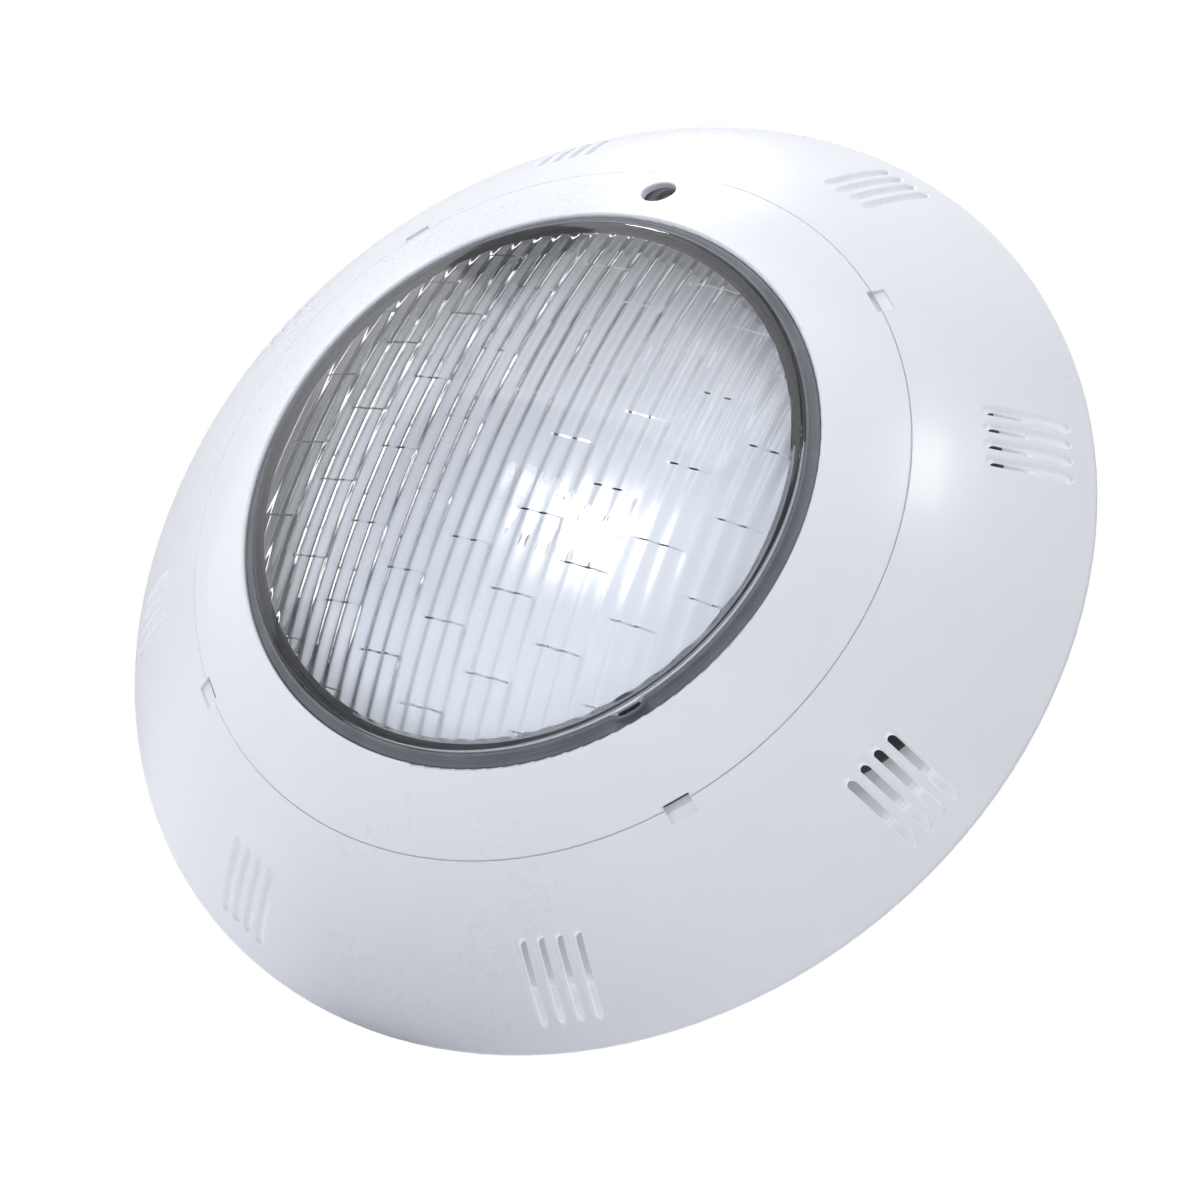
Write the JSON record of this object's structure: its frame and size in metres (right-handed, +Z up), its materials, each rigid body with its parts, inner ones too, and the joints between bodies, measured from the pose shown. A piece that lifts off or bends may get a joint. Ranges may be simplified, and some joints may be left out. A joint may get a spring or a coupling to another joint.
{
  "type": "underwater pool light",
  "caption": "Round surface-mounted underwater pool light with a vented domed face, fluted glass lens, sealed lamp shell, wall plate and cable.",
  "frame": {"origin": "centre of the back face of the wall plate, on the wall plane", "axes": "+Z up towards the lock screw, the lens faces -Y, +Y goes into the wall, +X to the right seen from the front with +Z up"},
  "size_m": [0.29, 0.1436, 0.29],
  "materials": {
    "white_abs": "moulded cool white ABS, soft satin gloss",
    "dark_plastic": "dark grey moulded plastic, fine texture",
    "lens_glass": "clear pressed glass, fluted inside",
    "gasket_rubber": "dark grey silicone rubber, matt",
    "reflector": "bright aluminised dish, soft mirror",
    "bulb_glass": "frosted quartz capsule",
    "tungsten": "drawn tungsten wire",
    "ceramic": "unglazed steatite",
    "stainless": "stainless steel, machined",
    "brass": "turned brass",
    "nickel_brass": "nickel plated brass, satin",
    "copper": "bare copper",
    "terminal_plastic": "pale moulded thermoset",
    "core_insulation": "brown and blue core insulation",
    "lead_sleeve": "woven glass sleeve",
    "cable_rubber": "black rubber sheath"
  },
  "bodies": {
    "wall_side": {"wall_plate": "white_abs", "lock_insert": "brass"},
    "lamp_unit": {"face_skirt": "white_abs", "lens_clamp_ring": "dark_plastic", "clamp_screws": "stainless", "clamp_inserts": "brass", "lens": "lens_glass", "lens_gasket": "gasket_rubber", "rear_shell": "dark_plastic", "reflector": "reflector", "bulb_glass": "bulb_glass", "bulb_filament": "tungsten", "filament_posts": "tungsten", "bulb_pins": "stainless", "bulb_socket": "ceramic", "socket_contacts": "brass", "socket_bracket": "stainless", "socket_screws": "stainless", "bracket_screws": "stainless", "terminal_block": "terminal_plastic", "terminal_barrels": "brass", "terminal_screws": "stainless", "cable_cores": "core_insulation", "cable_conductors": "copper", "socket_leads": "lead_sleeve", "gland_body": "nickel_brass", "gland_nut": "nickel_brass", "gland_washer": "gasket_rubber", "gland_seal": "gasket_rubber", "supply_cable": "cable_rubber"},
    "trim_cover": {"trim_ring": "white_abs"},
    "lock_fastener": {"lock_screw": "stainless", "lock_washer": "stainless", "lock_clip": "stainless"}
  },
  "joints": [
    {"name": "lamp_unit_pull", "type": "slide", "parent": "wall_side", "child": "lamp_unit", "axis": [0, -1, 0], "range_m": [0, 0.06]},
    {"name": "trim_ring_pull", "type": "slide", "parent": "lamp_unit", "child": "trim_cover", "axis": [0, -1, 0], "range_m": [0, 0.03]},
    {"name": "lock_screw_turn", "type": "hinge", "parent": "lamp_unit", "child": "lock_fastener", "pos_m": [0, -0.033, 0.0963], "axis": [0, -1, 0], "continuous": true}
  ]
}
